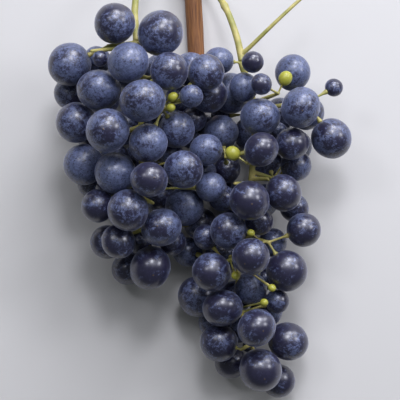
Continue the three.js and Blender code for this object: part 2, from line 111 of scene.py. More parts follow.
RIGHT = {
    "name": "right", "line": 24.6, "top": 67, "bare_top": 27,
    "profile": [
        (0, -1, 18, 14, 23), (14, 3, 23, 18, 27), (39, 8, 25, 20, 29), (62, 3, 20, 18, 28),
        (92, -5, 23, 18, 27), (116, -6, 20, 16, 25), (132, 0, 17, 12, 22), (146, 1, 11, 7, 18),
    ],
    "front": [
        (2.7, 44.5, 16, -0.02), (-2.5, 67.2, 18.2, -0.02), (20.6, 25.5, 19, 0.6),
        (13, 63.8, 17, -0.07), (-1.8, 92.3, 17, 0.1), (2.5, 29.5, 18.2, 0.65),
        (-19.4, 99.5, 17.8, 0.2), (-14.4, 116.2, 18.6, 0.15), (14.9, 99.3, 18.9, -0.12),
        (-11.7, 80.9, 16.8, 0.4), (0.9, 124.7, 18, 0.2), (35.3, 38.9, 18.9, 0.3),
        (-10.6, 17.6, 19.2, 1), (17.8, 8.7, 16.9, 0.65), (3.1, 144.8, 20, -0.02),
        (16.1, 132.4, 19.1, 0.03), (-14.8, 35.8, 16, 0.8), (22.8, 80.7, 15.8, 0.03),
        (-25.5, 111.8, 19.4, 0.18), (-15.9, 132.8, 17.8, 0.13), (-16, 3.6, 14, 0.7),
        (2.9, 15.2, 9.8, 0.18), (-0.9, 4.9, 10, 0.08), (10.8, 113.4, 11, 0.18),
        (17, 41.6, 15.2, 0.03), (19.3, 51.2, 14.4, 0.4), (-12.1, 52.7, 13.4, 0.08),
        (-12.5, 64, 13.4, 0.08), (18.9, 70.6, 14.4, 0.18), (2.2, 76.5, 13.4, 0.18),
        (8.9, 86.5, 13.4, 0.5), (-1.3, 107.7, 15.2, 0.5), (-30.4, 91.2, 14.3, 0.5),
        (-19.2, 124.3, 12.5, 0.18), (11.9, 151.3, 15.8, -0.12), (-10.2, 142.8, 15.2, -0.02),
        (36.6, 15.6, 8.2, 0.08), (-4.8, 15.9, 13.4, 0.7), (-14.5, 27.4, 10, 0.5),
    ],
    "inner": [(10.7, 36.4, 10.5), (6, 103.6, 11), (-1.4, 135.6, 6.5)],
    "shot": [
        (-9.8, 46, 7.2), (13.9, 12.1, 7), (-1.8, 81.8, 4), (-8.7, 101, 4.2), (4.4, 113.4, 4),
        (8, 106.8, 3.8),
    ],
    "arm_tips": [
        (21, 16.5, 41), (35.8, 48.3, 37), (50, 44.5, 31), (22, 56, 36), (15.5, 7.5, 36), (31, 9.5, 34),
    ],
    "stalk": [
        (19, 62.8, 27.5), (25, 40.2, 28), (24, 17, 29), (22, -4.5, 26), (17.9, -27.7, 25),
        (17.9, -46.9, 23), (23.2, -64.8, 19), (25.9, -74, 15),
    ],
    "peduncle": [
        (-2.4, 105.4, 5), (5.4, 98.8, 11), (11.8, 88.7, 19), (16.6, 75.4, 25), (19.2, 63.6, 27.5),
    ],
}
BUNCHES = [LEFT, RIGHT]
BLOOM_INSIDE = 0.3  # of the berries behind and inside
CANE = [
    (-7.2, 139, 4.3), (-6.2, 123, 5.5), (-4, 104.5, 5.5), (-2.6, 84, 4.6), (-1.4, 62, 4.1),
    (-0.2, 46, 4.1),
]
LAYERS = [
    {"shortest": 14.6, "longest": 16.9, "inset": 0, "from": 28, "to": -208},
    {"shortest": 11.5, "longest": 14.5, "inset": 7, "from": 90, "to": -270},
    {"shortest": 11, "longest": 13.5, "inset": 0, "from": 10, "to": -190},
]
CLEARANCE = 0.3  # left between two berries, and where a stem is laid past one by rule
ROUNDING = 1e-6
SHOT_DEPTH = 4  # how deep in the bunch the berries that stayed small are
INNER_DEPTH = 24  # and how deep those are that show in the gaps between the others
STEP_DOWN = 1.5  # between the rings in which a layer looks for room
STEP_ANGLE = 2  # degrees, along a ring
BACK_WIDTH = 0.86  # of the bunch's width, at its back
GOLDEN = 0.618034
GOLDEN_ANGLE = 137.508  # degrees
BEADS = 60
SWELLING = 1.15  # the most that a berry of a layer grows
LARGE_BERRY = 17
KEPT_CLEAR = {"cane": 5.4, "stalk": 1.7, "peduncle": 2.3}  # radius kept free of berries round a stem
ARM_RADIUS = 1.1
ARM = {"spacing": 9, "share_of_width": 0.6, "droop": 0.25, "shortest": 5, "stride": 1}
ARM_SHARES = [0.4, 0.6, 0.8, 0.95]  # where pedicels leave an arm
PEDICEL_RADIUS = 0.6


def smooth(points, steps):
    """Points on a smooth curve through the given ones, in even steps from the first to the last."""
    points = [np.array(p, float) for p in points]
    ends = [2 * points[0] - points[1], *points, 2 * points[-1] - points[-2]]
    found = []
    for k in range(steps + 1):
        place = (len(points) - 1) * (k / steps)
        i = min(int(place), len(points) - 2)
        t = place - i
        before, start, end, after = ends[i : i + 4]
        go, come = 0.5 * (end - before), 0.5 * (after - start)
        found.append(
            start
            + go * t
            + (3 * (end - start) - 2 * go - come) * t**2
            + (2 * (start - end) + go + come) * t**3
        )
    return found


def section_at(bunch, down):
    """Middle, half width, half depth and height of the bunch's section, that far down."""
    rows = bunch["profile"]
    i = 0
    while i < len(rows) - 2 and down > rows[i + 1][0]:
        i += 1
    share = min(max((down - rows[i][0]) / (rows[i + 1][0] - rows[i][0]), 0), 1)
    return [a + (b - a) * share for a, b in zip(rows[i][1:], rows[i + 1][1:])]


def front_berry(bunch, across, down, length, bloom=BLOOM_INSIDE, depth=0, shot=False):
    """A berry on the bunch's front, as far under its surface as the berries before it make it sink.
    It keeps clear of those berries, and not of the stems."""
    middle, half_width, half_depth, height = section_at(bunch, down)
    aside = min(max((across - middle) / half_width, -1), 1)
    z = height + half_depth * math.sqrt(1 - aside * aside) - depth
    centre = np.array([bunch["line"] + across, bunch["top"] - down, z])
    blocked = True
    while blocked:
        blocked = False
        for other in berries:
            apart = math.hypot(*(centre - other["centre"])[:2])
            reach = length / 2 + other["radius"] + CLEARANCE
            room = math.sqrt(max(reach**2 - apart**2, 0))
            if abs(centre[2] - other["centre"][2]) < room - ROUNDING:
                centre[2] = other["centre"][2] - room
                blocked = True
                break
    berry = {"bunch": bunch["name"], "centre": centre, "radius": length / 2}
    return {**berry, "shot": shot, "bloom": bloom}


def as_rows(balls):
    """Berries or beads as a table: X, Y, Z and radius."""
    return np.array([[*ball["centre"], ball["radius"]] for ball in balls])


def gaps(centre, rows):
    """How far a point is from the surface of each ball in the table."""
    return np.sqrt(((rows[:, :3] - centre) ** 2).sum(1)) - rows[:, 3]


def layer_of_berries(bunch, layer):
    """The berries of one layer, each one laid where it is clear of those before it."""
    found = []
    taken = as_rows([*berries, *stems])
    down = bunch["bare_top"]
    while down < bunch["profile"][-1][0]:
        middle, half_width, half_depth, height = section_at(bunch, down)
        width = half_width * BACK_WIDTH - layer["inset"]
        depth = half_depth - layer["inset"]
        for angle in range(layer["from"], layer["to"] - 1, -STEP_ANGLE):
            spread = (len(found) + 1) * GOLDEN % 1
            radius = (layer["shortest"] + (layer["longest"] - layer["shortest"]) * spread) / 2
            turn = math.radians(angle)
            across = bunch["line"] + middle + width * math.cos(turn)
            up = max(height + depth * math.sin(turn), radius)
            centre = np.array([across, bunch["top"] - down, up])
            if min(width, depth) > 0 and (gaps(centre, taken) >= radius + CLEARANCE).all():
                berry = {"bunch": bunch["name"], "centre": centre, "radius": radius}
                found.append({**berry, "shot": False, "bloom": BLOOM_INSIDE})
                taken = np.vstack([taken, [*centre, radius]])
        down += STEP_DOWN
    return found


def swell(berry):
    """A berry of a layer grows until it presses on a neighbour, on a stem or on the ground."""
    others = [other for other in [*berries, *stems] if other is not berry]
    room = gaps(berry["centre"], as_rows(others)).min() - CLEARANCE
    most = min(berry["radius"] * SWELLING, LARGE_BERRY / 2 - CLEARANCE)
    berry["radius"] = min(room, berry["centre"][2], most)


def beads(path, radius):
    """A stem's path as a row of beads, which berries keep clear of."""
    return [{"centre": point, "radius": radius} for point in smooth(path, BEADS)]


berries = []
for bunch in BUNCHES:
    for place in bunch["shot"]:
        berries.append(front_berry(bunch, *place, depth=SHOT_DEPTH, shot=True))
    for place in bunch["front"]:
        berries.append(front_berry(bunch, *place))
for bunch in BUNCHES:
    for place in bunch["inner"]:
        berries.append(front_berry(bunch, *place, depth=INNER_DEPTH))
stems = beads(CANE, KEPT_CLEAR["cane"])
for part in ("stalk", "peduncle"):
    for bunch in BUNCHES:
        stems += beads(bunch[part], KEPT_CLEAR[part])
for layer in LAYERS:
    for bunch in BUNCHES:
        laid = layer_of_berries(bunch, layer)
        berries += laid
        for berry in laid:
            swell(berry)


def line_gaps(start, end, points):
    """How far each point is from a straight line between two places."""
    way = end - start
    share = np.clip((points - start) @ way / (way @ way), 0, 1)
    return np.linalg.norm(points - start - share[:, None] * way, axis=1)


def is_open_way(start, end, radius, rows):
    """Whether a straight stem of that radius is clear of every ball in the table."""
    return (line_gaps(start, end, rows[:, :3]) >= rows[:, 3] + radius + CLEARANCE).all()


def arms_of(bunch):
    """The arms of a bunch: those given by their tips, then those that leave by the golden angle."""
    stalk = smooth(bunch["stalk"], BEADS)
    arms = []
    for tip in bunch["arm_tips"]:
        tip = np.array(tip, float)
        arms.append((min(stalk, key=lambda bead: np.linalg.norm(bead - tip)), tip))
    rows = as_rows(berries)
    count = round(bunch["profile"][-1][0] / ARM["spacing"])
    for k in range(1, count):
        root = smooth(bunch["stalk"], count)[k]
        half_width = section_at(bunch, bunch["top"] - root[1])[1]
        turn = math.radians(k * GOLDEN_ANGLE)
        way = np.array([math.cos(turn), -ARM["droop"], math.sin(turn)])
        way /= np.linalg.norm(way)
        out = 0
        while out + ARM["stride"] <= ARM["share_of_width"] * half_width and is_open_way(
            root, root + way * (out + ARM["stride"]), ARM_RADIUS, rows
        ):
            out += ARM["stride"]
        if out >= ARM["shortest"]:
            arms.append((root, root + way * out))
    return arms


def hang(berry, places):
    """A berry hangs from the nearest place on its stalk or arms that has an open way to it."""
    rows = as_rows([other for other in berries if other is not berry])
    centre = berry["centre"]
    nearest = sorted(places, key=lambda place: np.linalg.norm(place - centre))
    berry["foot"] = next(p for p in nearest if is_open_way(p, centre, PEDICEL_RADIUS, rows))
    way = berry["foot"] - centre
    berry["axis"] = way / np.linalg.norm(way)


for bunch in BUNCHES:
    bunch["arms"] = arms_of(bunch)
    places = smooth(bunch["stalk"], BEADS)
    places += [root + (tip - root) * share for root, tip in bunch["arms"] for share in ARM_SHARES]
    bunch["berries"] = [berry for berry in berries if berry["bunch"] == bunch["name"]]
    for berry in bunch["berries"]:
        hang(berry, places)

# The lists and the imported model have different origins. One berry, found in both, gives the shift.
low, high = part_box("left_berry_01")
first_large = next(berry for berry in berries if 2 * berry["radius"] >= LARGE_BERRY)
SHIFT = np.array((low + high) / 2) - first_large["centre"] * MM


def placed(point):
    """A place of the lists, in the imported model's frame and in metres."""
    return np.array(point) * MM + SHIFT


# Ripe berries.
# A grape is a thin blue-black skin over firm flesh, nearly round. It has a shallow hollow where its
# pedicel sits, and at the far end the small pale scar that the flower's style left.
BERRY_WIDTH = 1  # over its length
OVALNESS = 0.11  # how much narrower one way than the other a berry may be
RINGS = 26
SIDES = 42
POLE_CROWDING = 0.35  # how much closer the rings are towards both ends
STEM_HOLLOW = {"depth": 0.06, "spread": 0.28}
SCAR_DIMPLE = {"depth": 0.014, "spread": 0.13}
SCAR = {"height": 0.02, "spread": 0.045}
UNEVENNESS = 0.55 * MM
LUMP_SIZE = 11 * MM
FAR = 1  # metres, past every piece
NOISE_MIDDLE = 0.5
POLISHED_TIP = {"start": 0.4, "end": 1, "low": 0, "high": -0.2}  # bloom that outer ends have lost
BLOOM_WEIGHTS = {"kept": 0.65, "patches": 1.5, "streaks": 1.1, "mottle": 1.2}
BLOOM_EDGE = {"start": 1.92, "end": 2.24}


def linear(colour):
    """An sRGB colour, written as on a paint card, as the four linear values that a shader takes."""
    parts = [int(colour[i : i + 2], 16) / 255 for i in (1, 3, 5)]
    return (*[c / 12.92 if c <= 0.04045 else ((c + 0.055) / 1.055) ** 2.4 for c in parts], 1)


def add_node(tree, kind, inputs=None, **settings):
    """Adds a node to a tree. Each input is a value, or the output of another node."""
    node = tree.nodes.new(kind)
    for name, value in settings.items():
        setattr(node, name, value)
    for name, value in (inputs or {}).items():
        if isinstance(value, bpy.types.NodeSocket):
            tree.links.new(value, node.inputs[name])
        else:
            node.inputs[name].default_value = value
    return node.outputs


def attribute(tree, name, kind):
    """A named attribute of the geometry."""
    node = "GeometryNodeInputNamedAttribute"
    return add_node(tree, node, {"Name": name}, data_type=kind)["Attribute"]


def calculated(tree, operation, *values):
    """The result of one operation on numbers."""
    return add_node(tree, "ShaderNodeMath", dict(enumerate(values)), operation=operation)["Value"]


def vector(tree, operation, inputs):
    """The result of one operation on vectors."""
    return add_node(tree, "ShaderNodeVectorMath", inputs, operation=operation)["Vector"]


def ramp(tree, value, start=0, end=1, low=0, high=1, **settings):
    """A value that goes from low to high while the given one goes from start to end."""
    ends = {"From Min": start, "From Max": end, "To Min": low, "To Max": high}
    return add_node(tree, "ShaderNodeMapRange", {"Value": value, **ends}, **settings)["Result"]


def blend(tree, share, low, high):
    """A colour between two others. Each is written as on a paint card, or another node's output."""
    ends = [linear(end) if isinstance(end, str) else end for end in (low, high)]
    inputs = {0: share, 6: ends[0], 7: ends[1]}
    return add_node(tree, "ShaderNodeMix", inputs, data_type="RGBA")[2]


def noise(tree, place, size, **inputs):
    """Soft noise with features of about that size."""
    inputs = {name.capitalize(): value for name, value in inputs.items()}
    return add_node(tree, "ShaderNodeTexNoise", {"Vector": place, "Scale": 1 / size, **inputs})["Fac"]


def bump(tree, height, strength, distance):
    """The normals of a surface that is raised by a height."""
    inputs = {"Strength": strength, "Distance": distance, "Height": height}
    return add_node(tree, "ShaderNodeBump", inputs)["Normal"]


def made_uneven(tree, geometry, place, width, depth, detail):
    """Geometry that noise moves in and out, kept above the ground, and shaded smooth."""
    scale = calculated(tree, "DIVIDE", 1, width)
    inputs = {"Vector": place, "Scale": scale, "Detail": detail}
    height = add_node(tree, "ShaderNodeTexNoise", inputs)["Fac"]
    rise = calculated(tree, "MULTIPLY", calculated(tree, "SUBTRACT", height, NOISE_MIDDLE), depth)
    normal = add_node(tree, "GeometryNodeInputNormal")["Normal"]
    offset = vector(tree, "SCALE", {0: normal, "Scale": rise})
    position = add_node(tree, "GeometryNodeInputPosition")["Position"]
    moved = vector(tree, "ADD", {0: position, 1: offset})
    on_ground = vector(tree, "MAXIMUM", {0: moved, 1: (-FAR, -FAR, 0)})
    inputs = {"Geometry": geometry, "Position": on_ground}
    uneven = add_node(tree, "GeometryNodeSetPosition", inputs)["Geometry"]
    return add_node(tree, "GeometryNodeSetShadeSmooth", {"Geometry": uneven})["Geometry"]


def geometry_tree(name, sockets):
    """A Geometry Nodes tree with its named inputs, and the outputs of its input node."""
    tree = bpy.data.node_groups.new(name, "GeometryNodeTree")
    tree.interface.new_socket("Geometry", in_out="INPUT", socket_type="NodeSocketGeometry")
    for socket, kind in sockets.items():
        tree.interface.new_socket(socket, in_out="INPUT", socket_type=f"NodeSocket{kind}")
    tree.interface.new_socket("Geometry", in_out="OUTPUT", socket_type="NodeSocketGeometry")
    return tree, add_node(tree, "NodeGroupInput")


def as_plain_mesh(piece):
    """Applies a piece's modifiers, in one plain mesh."""
    evaluated = piece.evaluated_get(bpy.context.evaluated_depsgraph_get())
    mesh = bpy.data.meshes.new_from_object(evaluated)
    piece.modifiers.clear()
    piece.data = mesh


def grown(name, tree, mesh, **values):
    """A piece with the plain mesh that a tree makes of the given one."""
    piece = bpy.data.objects.new(name, mesh)
    scene.collection.objects.link(piece)
    modifier = piece.modifiers.new(tree.name, "NODES")
    modifier.node_group = tree
    for socket in tree.interface.items_tree:
        key = socket.name.lower().replace(" ", "_")
        if key in values:
            modifier[socket.identifier] = values[key]
    as_plain_mesh(piece)
    return piece


def new_material(name):
    """An empty material, with its node tree and its Principled BSDF."""
    material = bpy.data.materials.new(name)
    material.use_nodes = True
    return material, material.node_tree, material.node_tree.nodes["Principled BSDF"]


def set_shader(tree, shader, inputs):
    """Sets or links the inputs of a material's shader."""
    for name, value in inputs.items():
        if isinstance(value, bpy.types.NodeSocket):
            tree.links.new(value, shader.inputs[name])
        else:
            shader.inputs[name].default_value = value


def berry_mesh():
    """A berry of radius 1 with its pedicel end up, in rings that crowd towards both ends."""
    corners = [(0, 0, 0)]
    faces = []
    for ring in range(1, RINGS):
        share = ring / RINGS
        angle = math.pi * share - POLE_CROWDING * math.sin(2 * math.pi * share)
        radius = berry_radius(angle)
        for side in range(SIDES):
            turn = 2 * math.pi * side / SIDES
            flat = radius * math.sin(angle)
            corners.append((flat * math.cos(turn), flat * math.sin(turn), radius * math.cos(angle)))
    corners[0] = (0, 0, berry_radius(0))
    corners.append((0, 0, -berry_radius(math.pi)))
    last = len(corners) - 1
    for side in range(SIDES):
        beside = (side + 1) % SIDES
        faces.append((0, 1 + side, 1 + beside))
        for ring in range(RINGS - 2):
            a = 1 + ring * SIDES
            b = a + SIDES
            faces.append((a + side, b + side, b + beside, a + beside))
        faces.append((last, last - SIDES + beside, last - SIDES + side))
    mesh = bpy.data.meshes.new("berry")
    mesh.from_pydata(corners, [], faces)
    is_scar = mesh.attributes.new("is_scar", "BOOLEAN", "FACE")
    is_scar.data.foreach_set("value", [last in face.vertices for face in mesh.polygons])
    outwards = mesh.attributes.new("outwards", "FLOAT", "POINT")
    outwards.data.foreach_set("value", [-corner[2] for corner in corners])
    return mesh


def berry_radius(angle):
    """The berry's outline, by the angle from its pedicel."""
    from_scar = math.pi - angle
    hollow = STEM_HOLLOW["depth"] * math.exp(-((angle / STEM_HOLLOW["spread"]) ** 2))
    dimple = SCAR_DIMPLE["depth"] * math.exp(-((from_scar / SCAR_DIMPLE["spread"]) ** 2))
    button = SCAR["height"] * math.exp(-((from_scar / SCAR["spread"]) ** 2))
    return 1 - hollow - dimple + button


def berry_points(name, found, width):
    """One point for each berry, with its size, its axis and a number of its own."""
    mesh = bpy.data.meshes.new(name)
    mesh.from_pydata([placed(berry["centre"]) for berry in found], [], [])
    kinds = np.arange(1, len(found) + 1) * GOLDEN % 1
    radii = np.array([berry["radius"] * MM for berry in found])
    sizes = np.stack([radii * width, radii * width * (1 - OVALNESS * kinds), radii], axis=1)
    axes = np.array([berry["axis"] for berry in found])
    blooms = [berry["bloom"] for berry in found]
    mesh.attributes.new("size", "FLOAT_VECTOR", "POINT").data.foreach_set("vector", sizes.ravel())
    mesh.attributes.new("axis", "FLOAT_VECTOR", "POINT").data.foreach_set("vector", axes.ravel())
    mesh.attributes.new("kind", "FLOAT", "POINT").data.foreach_set("value", kinds)
    mesh.attributes.new("bloom", "FLOAT", "POINT").data.foreach_set("value", blooms)
    return mesh


def berries_tree():
    """A berry on each point, turned along its axis, a little uneven, and flat where it lies down."""
    sockets = {
        "Berry": "Object",
        "Unevenness": "Float",
        "Lump Size": "Float",
        "Skin": "Material",
        "Scar": "Material",
    }
    tree, given = geometry_tree("Berries on their axes", sockets)
    angle = calculated(tree, "MULTIPLY", attribute(tree, "kind", "FLOAT"), 2 * math.pi)
    roll = add_node(tree, "FunctionNodeAxisAngleToRotation", {"Axis": (0, 0, 1), "Angle": angle})
    axis = attribute(tree, "axis", "FLOAT_VECTOR")
    aim = add_node(tree, "FunctionNodeAlignRotationToVector", {"Vector": axis}, axis="Z")
    turned = add_node(
        tree,
        "FunctionNodeRotateRotation",
        {"Rotation": aim["Rotation"], "Rotate By": roll["Rotation"]},
        rotation_space="LOCAL",
    )
    points = add_node(tree, "GeometryNodeMeshToPoints", {"Mesh": given["Geometry"]})["Points"]
    shape = add_node(tree, "GeometryNodeObjectInfo", {"Object": given["Berry"]})["Geometry"]
    laid = add_node(
        tree,
        "GeometryNodeInstanceOnPoints",
        {
            "Points": points,
            "Instance": shape,
            "Rotation": turned["Rotation"],
            "Scale": attribute(tree, "size", "FLOAT_VECTOR"),
        },
    )["Instances"]
    real = add_node(tree, "GeometryNodeRealizeInstances", {"Geometry": laid})["Geometry"]
    place = add_node(tree, "GeometryNodeInputPosition")["Position"]
    soft = made_uneven(tree, real, place, given["Lump Size"], given["Unevenness"], detail=1)
    skinned = add_node(tree, "GeometryNodeSetMaterial", {"Geometry": soft, "Material": given["Skin"]})
    scarred = add_node(
        tree,
        "GeometryNodeSetMaterial",
        {
            "Geometry": skinned["Geometry"],
            "Selection": attribute(tree, "is_scar", "BOOLEAN"),
            "Material": given["Scar"],
        },
    )
    add_node(tree, "NodeGroupOutput", {"Geometry": scarred["Geometry"]})
    return tree


def bloomed_skin():
    """Cuticle of a ripe grape: near black with a blue-violet cast, under a waxy grey-blue bloom.
    The bloom is dull, speckled and ragged at its edges, where it was rubbed off, and the bare skin
    has a soft gloss."""
    material, tree, shader = new_material("bloomed_grape_skin")
    place = add_node(tree, "ShaderNodeTexCoord")["Object"]
    kept = add_node(tree, "ShaderNodeAttribute", attribute_name="bloom")["Fac"]
    outwards = add_node(tree, "ShaderNodeAttribute", attribute_name="outwards")["Fac"]
    patches = noise(tree, place, 6 * MM, detail=3, roughness=0.6, distortion=1)
    streaks = noise(tree, place, 2.4 * MM, detail=4, roughness=0.7, distortion=2.5)
    mottle = noise(tree, place, 1.2 * MM, detail=4, roughness=0.85, distortion=0.4)
    scuffs = noise(tree, place, 3.2 * MM, detail=4, roughness=0.75, distortion=1.5)
    amount = ramp(tree, outwards, **POLISHED_TIP, interpolation_type="SMOOTHSTEP")
    parts = {"kept": kept, "patches": patches, "streaks": streaks, "mottle": mottle}
    for name, value in parts.items():
        amount = calculated(tree, "MULTIPLY_ADD", value, BLOOM_WEIGHTS[name], amount)
    bloom = ramp(tree, amount, **BLOOM_EDGE, interpolation_type="SMOOTHSTEP")
    dots = add_node(tree, "ShaderNodeTexVoronoi", {"Vector": place, "Scale": 1 / (1.5 * MM)})["Distance"]
    between_dots = ramp(tree, dots, start=0.14, end=0.3, low=0.1)
    speckled = calculated(tree, "MULTIPLY", bloom, between_dots)
    from_scuff = calculated(tree, "ABSOLUTE", calculated(tree, "SUBTRACT", scuffs, NOISE_MIDDLE))
    unscuffed = ramp(tree, from_scuff, end=0.022, low=0.25)
    wax = calculated(tree, "MULTIPLY", speckled, unscuffed)
    grain = ramp(tree, mottle, start=0.38, end=0.62)
    skin = blend(tree, streaks, "#11111d", "#2e2c47")
    powder = blend(tree, grain, "#3c465d", "#5f688c")
    set_shader(
        tree,
        shader,
        {
            "Base Color": blend(tree, wax, skin, powder),
            "Roughness": ramp(tree, wax, low=0.32, high=0.56),
            "Normal": bump(tree, wax, strength=0.22, distance=0.1 * MM),
            "IOR": 1.5,
            "Coat Weight": 0.6,
            "Coat Roughness": 0.25,
            "Sheen Weight": 0.5,
            "Sheen Roughness": 0.3,
            "Sheen Tint": linear("#b4b8d6"),
        },
    )
    return material


def style_scar():
    """Dry cork where the style fell off: a pale brown dot, dull."""
    material, tree, shader = new_material("style_scar_cork")
    place = add_node(tree, "ShaderNodeTexCoord")["Object"]
    colour = blend(tree, noise(tree, place, 0.4 * MM), "#33291f", "#655441")
    set_shader(tree, shader, {"Base Color": colour, "Roughness": 0.8})
    return material


berry_shape = bpy.data.objects.new("berry_shape", berry_mesh())
scene.collection.objects.link(berry_shape)
berries_on_axes = berries_tree()
skin = bloomed_skin()
scar = style_scar()
for bunch in BUNCHES:
    side = bunch["name"]
    ripe = [berry for berry in bunch["berries"] if not berry["shot"]]
    piece = grown(
        f"{side}_berries",
        berries_on_axes,
        berry_points(f"{side}_berries", ripe, BERRY_WIDTH),
        berry=berry_shape,
        unevenness=UNEVENNESS,
        lump_size=LUMP_SIZE,
        skin=skin,
        scar=scar,
    )
    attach(piece, "root")
    solids = [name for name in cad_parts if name.startswith((f"{side}_berry", f"{side}_cluster"))]
    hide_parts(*solids)

# Berries that stayed small.
# A few flowers set no seed, so their berries stayed green, hard and pea-sized. They are smooth and a
# little see-through, with a brown dot at the tip.
SHOT_WIDTH = 0.9  # over its length


def unripe_skin():
    """Skin of a green berry: yellow-green, waxy and slightly translucent."""
    material, tree, shader = new_material("unripe_grape_skin")
    place = add_node(tree, "ShaderNodeTexCoord")["Object"]
    colour = blend(tree, noise(tree, place, 2.5 * MM, detail=3), "#84872a", "#b9b548")
    set_shader(
        tree,
        shader,
        {
            "Base Color": colour,
            "Roughness": 0.38,
            "Subsurface Weight": 0.25,
            "Subsurface Radius": (1, 1, 0.3),
            "Subsurface Scale": 1.2 * MM,
        },
    )
    return material


green_skin = unripe_skin()
for bunch in BUNCHES:
    side = bunch["name"]
    shot = [berry for berry in bunch["berries"] if berry["shot"]]
    piece = grown(
        f"{side}_shot_berries",
        berries_on_axes,
        berry_points(f"{side}_shot_berries", shot, SHOT_WIDTH),
        berry=berry_shape,
        unevenness=UNEVENNESS / 2,
        lump_size=LUMP_SIZE / 2,
        skin=green_skin,
        scar=scar,
    )
    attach(piece, "root")
bpy.data.objects.remove(berry_shape)

# Stalks.
# Each bunch hangs by a green, slightly woody peduncle that grows on through the bunch as its stalk.
# Arms leave the stalk all round, and pedicels leave both and widen into the seats of the berries.
# The right peduncle has a bare side arm. All are one growth, so each bunch's stems are one skin.
STALK_RADII = [(0, 1.7), (1, 0.8)]
PEDUNCLE_RADII = [(0, 2.5), (0.12, 1.9), (0.3, 1.35), (0.44, 1.45), (0.48, 1.95), (0.53, 1.5), (1, 1.7)]
SIDE_ARM = [
    (18.4, 66, 26.8), (23.2, 70.2, 28.5), (33.6, 80.2, 30.5), (45.6, 91.4, 29), (52, 96.5, 25.5),
]
SIDE_ARM_RADII = [(0, 1.3), (0.2, 1.05), (0.8, 0.8), (0.96, 0.75), (1, 0.95)]
ARM_RADII = [(0, 1.45), (0.15, 1.1), (0.9, 0.85), (1, 0.7)]
PEDICEL_RADII = [(0, 0.8), (0.15, 0.58), (0.6, 0.55), (0.8, 0.75), (0.93, 1.2), (1, 1.3)]
SHOT_PEDICEL_RADII = [(0, 0.6), (0.15, 0.45), (0.8, 0.5), (1, 0.8)]
PEDICEL_REACH = 0.95  # of the berry's radius, so that its end lies in the berry's hollow
STEPS = {"peduncle": 48, "stalk": 60, "side_arm": 40, "straight": 12, "bud": 40}
STEM_SIDES = 12
SKIN_VOXEL = 0.3 * MM
SMOOTHING = {"factor": 0.5, "iterations": 3}
DRAWN_OUT = (1, 1, 0.06)  # how noise is squeezed, so that it runs along a stem


def tapered(points, radii):
    """A stem's points with the radius at each, read off a short list of (share along, radius)."""
    shares = np.linspace(0, 1, len(points))
    widths = np.interp(shares, [r[0] for r in radii], [r[1] for r in radii])
    return [(*point, width) for point, width in zip(points, widths)]


def straight(start, end, steps):
    """Points in even steps along a straight line."""
    return [start + (end - start) * k / steps for k in range(steps + 1)]


def stem_lines(name, lines):
    """Stems as open lines of corners, each with the stem's thickness there."""
    corners, edges, widths = [], [], []
    for line in lines:
        first = len(corners)
        corners += [placed(point[:3]) for point in line]
        widths += [point[3] * MM for point in line]
        edges += [(k, k + 1) for k in range(first, len(corners) - 1)]
    mesh = bpy.data.meshes.new(name)
    mesh.from_pydata(corners, edges, [])
    thickness = mesh.attributes.new("thickness", "FLOAT", "POINT")
    thickness.data.foreach_set("value", widths)
    return mesh


def stems_tree():
    """A round stem along each line, with ridges that run along it, and its own place stored on it."""
    sockets = {
        "Sides": "Int",
        "Ridge Depth": "Float",
        "Ridge Width": "Float",
        "Skin": "Material",
        "Cut": "Material",
    }
    tree, given = geometry_tree("Stems along their lines", sockets)

    def stored(geometry, name, value, kind):
        inputs = {"Geometry": geometry, "Name": name, "Value": value}
        node = "GeometryNodeStoreNamedAttribute"
        return add_node(tree, node, inputs, data_type=kind, domain="POINT")["Geometry"]

    curve = add_node(tree, "GeometryNodeMeshToCurve", {"Mesh": given["Geometry"]})["Curve"]
    length = add_node(tree, "GeometryNodeSplineParameter")["Length"]
    lined = stored(curve, "along", length, "FLOAT")
    circle = add_node(tree, "GeometryNodeCurvePrimitiveCircle", {"Resolution": given["Sides"], "Radius": 1})
    position = add_node(tree, "GeometryNodeInputPosition")["Position"]
    around = stored(circle["Curve"], "around", position, "FLOAT_VECTOR")
    thickness = attribute(tree, "thickness", "FLOAT")
    tube = add_node(
        tree,
        "GeometryNodeCurveToMesh",
        {"Curve": lined, "Profile Curve": around, "Scale": thickness, "Fill Caps": True},
    )["Mesh"]
    ring = vector(tree, "SCALE", {0: attribute(tree, "around", "FLOAT_VECTOR"), "Scale": thickness})
    lengthwise = add_node(tree, "ShaderNodeCombineXYZ", {"Z": attribute(tree, "along", "FLOAT")})["Vector"]
    local = vector(tree, "ADD", {0: ring, 1: lengthwise})
    marked = stored(tube, "bark", local, "FLOAT_VECTOR")
    drawn_out = vector(tree, "MULTIPLY", {0: local, 1: DRAWN_OUT})
    soft = made_uneven(tree, marked, drawn_out, given["Ridge Width"], given["Ridge Depth"], detail=2)
    real = add_node(tree, "GeometryNodeRealizeInstances", {"Geometry": soft})["Geometry"]
    skinned = add_node(tree, "GeometryNodeSetMaterial", {"Geometry": real, "Material": given["Skin"]})
    corners = add_node(tree, "GeometryNodeInputMeshFaceNeighbors")["Vertex Count"]
    is_end = add_node(
        tree, "FunctionNodeCompare", {2: corners, 3: 4}, data_type="INT", operation="GREATER_THAN"
    )["Result"]
    flat = add_node(
        tree,
        "GeometryNodeSetShadeSmooth",
        {"Geometry": skinned["Geometry"], "Selection": is_end, "Shade Smooth": False},
    )["Geometry"]
    cut = add_node(
        tree, "GeometryNodeSetMaterial", {"Geometry": flat, "Selection": is_end, "Material": given["Cut"]}
    )["Geometry"]
    add_node(tree, "NodeGroupOutput", {"Geometry": cut})
    return tree


